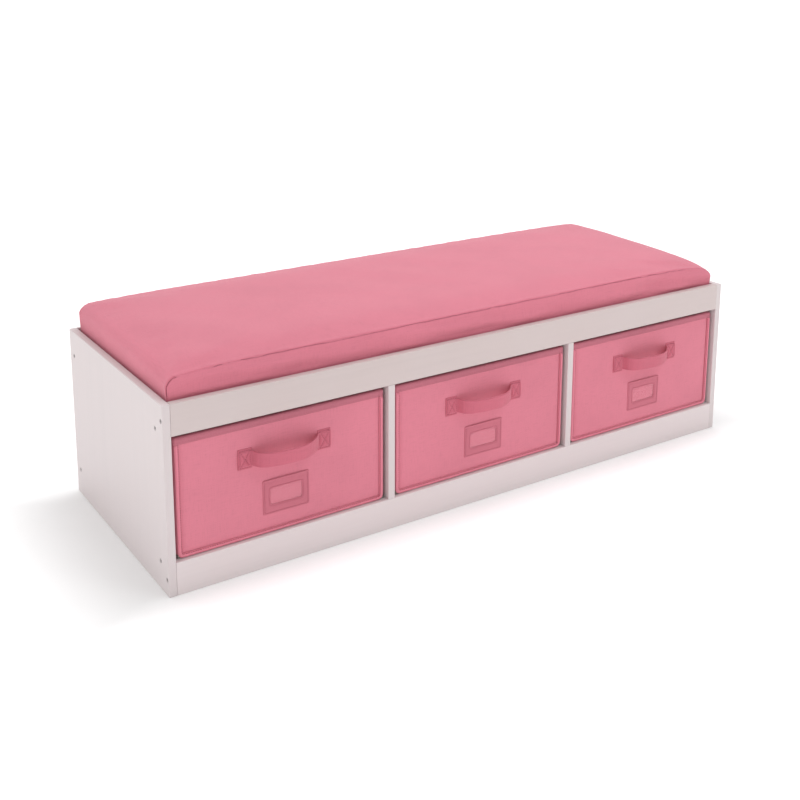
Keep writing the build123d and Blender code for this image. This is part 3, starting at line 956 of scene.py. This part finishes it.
    def make_handle(self):
        lo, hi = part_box(self.node("handle"))
        middle_z = (lo.z + hi.z) / 2
        line, reach = self.strap_path()
        x, out = line[:, 0], line[:, 1]
        free = np.clip(out / reach, 0, 1)
        y = self.face(x, np.full(len(x), middle_z)) - STRAP / 2 - 0.05 * MM
        y = y * (1 - free) + free * (self.front - STRAP / 2) - out
        sag = 0.7 * MM * free**1.5 * (1 + 0.25 * math.sin(2.0 * self.seed))
        path = np.stack([x + self.middle, y, middle_z - sag], -1)
        step = tangents(path)
        tilt = np.radians(9.0) * free
        upright = np.tile([0, 0, 1.0], (len(path), 1))
        out_dir = np.cross(step, upright)
        out_dir /= np.linalg.norm(out_dir, axis=1)[:, None]
        side = upright * np.cos(tilt)[:, None] + out_dir * np.sin(tilt)[:, None]
        up = np.cross(side, step)
        half_w, half_t, r = STRAP_WIDTH / 2, STRAP / 2, 0.8 * MM
        flat = np.linspace(-half_w + r, half_w - r, 13)
        face = np.stack([flat, np.full(len(flat), half_t)], -1)
        shoulder = half_w - 0.25 * MM
        edge = np.array([(shoulder, 0.75 * half_t), (half_w, 0), (shoulder, -0.75 * half_t)])
        profile = np.concatenate([-edge[1:], face, edge, -face, -edge[:2]])
        strap = sweep(Shape(), path, side, up, profile)
        self.finished(strap, "strap", "handle", webbing, "webbing")

    def make_patches(self, stitches):
        """A patch over each tab of the strap, sewn round its edge and across in an X."""
        lo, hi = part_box(self.node("handle_patches"))
        tall, middle_z = hi.z - lo.z, (lo.z + hi.z) / 2
        shape = Shape()
        inset = 2.6 * MM

        def patch_lift(across):
            """The strap under a patch lifts its middle."""
            over_strap = 1 / (1 + np.exp((np.abs(across) - STRAP_WIDTH / 2 - 0.6 * MM) / (0.9 * MM)))
            return 1.1 * MM + (STRAP - 0.2 * MM) * over_strap

        for side in (-1, 1):
            centre = side * (hi.x - self.middle - PATCH_SPAN / 2)
            u = np.linspace(-1, 1, 31)
            w = np.linspace(-1, 1, 45)
            a, b = np.meshgrid(u * PATCH_SPAN / 2, w * tall / 2, indexing="ij")
            lift = patch_lift(b)
            edge = np.minimum(PATCH_SPAN / 2 - np.abs(a), tall / 2 - np.abs(b))
            wide, high = PATCH_SPAN / 2 - inset, tall / 2 - inset
            slope = math.hypot(wide, high)
            cross = np.minimum(np.abs(a * high - b * wide), np.abs(a * high + b * wide)) / slope
            cross = np.where(edge > inset, cross, 1)
            sewn = np.minimum(np.abs(edge - inset), cross)
            lift = lift - 0.75 * MM * np.exp(-((sewn / (1.1 * MM)) ** 2))
            lift = lift + 0.5 * MM * np.clip(np.minimum(sewn, 4 * MM) / (4 * MM), 0, 1) * (edge > inset)
            lift = lift * np.clip(edge / (0.5 * MM), 0.35, 1)
            top = self.on_face(a + centre, b + middle_z, lift)
            shape.sheet(top, self.on_face(a + centre, b + middle_z, 0.02 * MM))

            def run(start, end):
                line = resample([start, end], 1 * MM)
                x_at, z_at = line[:, 0], line[:, 1]
                on = self.on_face(x_at + centre, z_at + middle_z, patch_lift(z_at) - 0.55 * MM)
                stitch_line(stitches, on, FRONTWARD, 3.2 * MM, 2.4 * MM, 0.36 * MM, 0)

            corners = [(-wide, -high), (wide, -high), (wide, high), (-wide, high)]
            for k in range(4):
                run(corners[k], corners[(k + 1) % 4])
            run(corners[0], corners[2])
            run(corners[1], corners[3])
        self.finished(shape, "sewn_patches", "handle_patches", patch_cloth, "webbing", 1e-5)

    def make_label(self, stitches):
        """The label pocket: a cloth frame sewn on at its sides and bottom, round a clear window."""
        lo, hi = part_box(self.node("label_pocket"))
        win_lo, win_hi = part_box(self.node("label_window"))
        half_x, half_z, middle_z = (hi.x - lo.x) / 2, (hi.z - lo.z) / 2, (hi.z + lo.z) / 2
        win_x, win_z = (win_hi.x - win_lo.x) / 2, (win_hi.z - win_lo.z) / 2

        def outline(hx, hz, r, count=16):
            """A rectangle with round corners, starting at its lower right, as a closed loop."""
            points = []
            x, z = hx - r, hz - r
            for cx, cz, start in ((x, -z, -90), (x, z, 0), (-x, z, 90), (-x, -z, 180)):
                for a in np.radians(np.linspace(start, start + 90, 7)):
                    points.append((cx + r * math.cos(a), cz + r * math.sin(a)))
            loop = []
            for k in range(4):
                arc = points[7 * k : 7 * k + 7]
                following = points[(7 * k + 7) % 28]
                run = np.linspace(arc[-1], following, count + 2)[1:-1]
                loop += arc + [tuple(p) for p in run]
            return np.array(loop + [loop[0]], float)

        outer, inner = outline(half_x, half_z, 2.5 * MM), outline(win_x, win_z, 3.5 * MM)

        def frame_row(share, high):
            """The frame's line at a share of the way from its outer edge to the window."""
            flat = outer * (1 - share) + inner * share
            # The mouth along the top stands a little open.
            near_top = np.clip((flat[:, 1] - half_z + 6 * MM) / (6 * MM), 0, 1)
            gape = 1.1 * MM * near_top * (1 - (flat[:, 0] / half_x) ** 4)
            return self.on_face(flat[:, 0], flat[:, 1] + middle_z, high + gape)

        shares = np.array([0, 0.03, 0.08, 0.16, 0.22, 0.28, 0.4, 0.6, 0.76, 0.84, 0.9, 0.95, 0.98, 1.0])
        rise = np.array([0.15, 0.95, 1.3, 1.15, 0.95, 1.15, 1.4, 1.4, 1.2, 1.0, 1.25, 1.35, 1.1, 0.7]) * MM
        rows = [frame_row(share, high) for share, high in zip(shares, rise)]
        rows += [frame_row(share, high * MM) for share, high in ((1.0, 0.55), (0.5, 0.55), (0.0, 0.1))]
        rows.append(rows[0])
        self.finished(Shape().grid(np.stack(rows)), "pocket", "label_pocket", label_cloth, "bin_cloth")

        film_x, film_z = np.linspace(-1, 1, 25) * (win_x + 2 * MM), np.linspace(-1, 1, 15) * (win_z + 2 * MM)
        x, z = np.meshgrid(film_x, film_z, indexing="ij")
        window = Shape()
        window.sheet(*(self.on_face(x, z + middle_z, off) for off in (FILM_FRONT, FILM_BACK)))
        self.finished(window, "window", "label_window", film, "clear_vinyl")

        side, mouth, foot = half_x - 2.6 * MM, half_z - 3 * MM, 2.6 * MM - half_z
        seam = resample([(-side, mouth), (-side, foot), (side, foot), (side, mouth)], 1 * MM)
        on = self.on_face(seam[:, 0], seam[:, 1] + middle_z, 1.15 * MM)
        stitch_line(stitches, on, FRONTWARD, 3.4 * MM, 2.5 * MM, 0.34 * MM, 0)
        around = outline(win_x + 2.2 * MM, win_z + 2.2 * MM, 4.5 * MM)
        on = self.on_face(around[:, 0], around[:, 1] + middle_z, 1.2 * MM)
        stitch_line(stitches, on, FRONTWARD, 3.2 * MM, 2.3 * MM, 0.32 * MM, 0)

    def make_hem_stitches(self, stitches):
        row = self.loop(-0.95 * MM, self.top - 0.5 * MM, 1.0)
        row[:, 2] = self.top - HEM_HEIGHT + 3.0 * MM
        stitch_line(stitches, row, level_normals(row))

    def make(self):
        self.make_walls()
        self.make_hem()
        stitches = self.make_edging()
        self.make_handle()
        self.make_patches(stitches)
        self.make_label(stitches)
        self.make_hem_stitches(stitches)
        stitches.make(self.node("stitching"), thread, self.body, "binding_cloth", STITCH_WELD)


for seed, bay in enumerate(BAYS):
    Bin(bay, 10 * seed + 3).make()


# ---------------------------------------------------------------- floor, light and camera


def stage_floor():
    mesh = bpy.data.meshes.new("Floor")
    size = 30.0
    corners = [(-size, -size, 0), (size, -size, 0), (size, size, 0), (-size, size, 0)]
    mesh.from_pydata(corners, [], [(0, 1, 2, 3)])
    floor = placed("Floor", mesh)
    maker = Maker("Floor", (0.9, 0.9, 0.9), 0.8, Specular_IOR_Level=0.1)
    maker.shader.inputs["Emission Color"].default_value = (1, 1, 1, 1)
    # The floor glows a little more away from the bench, so that it stays pale to the horizon.
    parts = maker.add("ShaderNodeSeparateXYZ")
    maker.feed(parts.inputs[0], maker.place())
    case_lo, case_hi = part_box("end_panel_left")[0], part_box("end_panel_right")[1]
    beside = maker.math("SUBTRACT", maker.math("ABSOLUTE", parts.outputs["X"]), case_hi.x)
    ahead = maker.math("SUBTRACT", maker.math("ABSOLUTE", parts.outputs["Y"]), -case_lo.y)
    weighed = maker.math("MULTIPLY_ADD", ahead, 2.4, 0.06)
    span = {"From Min": 0.01, "From Max": 0.26, "To Min": 0.08, "To Max": 0.42}
    span["Value"] = maker.math("MAXIMUM", beside, weighed)
    glow = maker.node("ShaderNodeMapRange", "Result", span, interpolation_type="SMOOTHSTEP")
    maker.feed(maker.shader.inputs["Emission Strength"], glow)
    clouds = maker.noise(maker.place(), 0.8, 2.0)
    pale = maker.colours(clouds, (0.3, (0.895, 0.895, 0.897)), (0.7, (0.905, 0.905, 0.905)))
    mesh.materials.append(maker.done(pale))


def area(name, place, target, size, power, colour=(1, 1, 1)):
    light = bpy.data.lights.new(name, "AREA")
    light.shape = "RECTANGLE"
    light.size, light.size_y = size
    light.energy = power
    light.color = colour
    lamp = placed(name, light)
    lamp.location = place
    lamp.rotation_euler = (Vector(target) - Vector(place)).to_track_quat("-Z", "Y").to_euler()


stage_floor()
world = bpy.data.worlds.new("World")
world.use_nodes = True
sky = world.node_tree.nodes["Background"]
sky.inputs["Color"].default_value = (1.0, 0.995, 0.99, 1)
# The studio is dimmer in front of the bench than behind it.
add, join = world.node_tree.nodes.new, world.node_tree.links.new
split = add("ShaderNodeSeparateXYZ")
join(add("ShaderNodeTexCoord").outputs["Generated"], split.inputs[0])
fade = add("ShaderNodeMapRange")
fade.inputs["From Min"].default_value = -1.0
fade.inputs["To Min"].default_value = 0.48
fade.inputs["To Max"].default_value = 1.08
join(split.outputs["Y"], fade.inputs["Value"])
join(fade.outputs["Result"], sky.inputs["Strength"])
bpy.context.scene.world = world
area("Top", (0.4, 0.1, 2.2), (0, 0, 0.2), (1.6, 1.3), 11, (0.97, 0.96, 1.0))
area("Key", (0.5, -1.45, 1.95), (0, 0, 0.15), (0.8, 0.6), 5)
area("Left", (-2.4, -0.9, 1.1), (0, 0, 0.2), (1.6, 1.2), 1.5)

bpy.context.scene.view_settings.view_transform = "Standard"

AZIMUTH, ELEVATION = math.radians(-32.91), math.radians(11.64)
level = math.cos(ELEVATION)
back = Vector((math.sin(AZIMUTH) * level, -math.cos(AZIMUTH) * level, math.sin(ELEVATION)))
right = Vector((math.cos(AZIMUTH), math.sin(AZIMUTH), 0))
upward = back.cross(right)
camera = bpy.data.cameras.new("Camera")
camera.lens = 50.755
camera.sensor_width = 36
camera.shift_x = 0.0175
camera.shift_y = -0.25
camera.clip_start, camera.clip_end = 0.05, 200
viewer = placed("Camera", camera)
case_middle = sum(corner.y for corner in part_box("end_panel_left")) / 2
turned = Matrix((right, upward, back)).transposed().to_4x4()
viewer.matrix_world = Matrix.Translation((-1.0708, case_middle - 1.5557, 0.8582)) @ turned
bpy.context.scene.camera = viewer
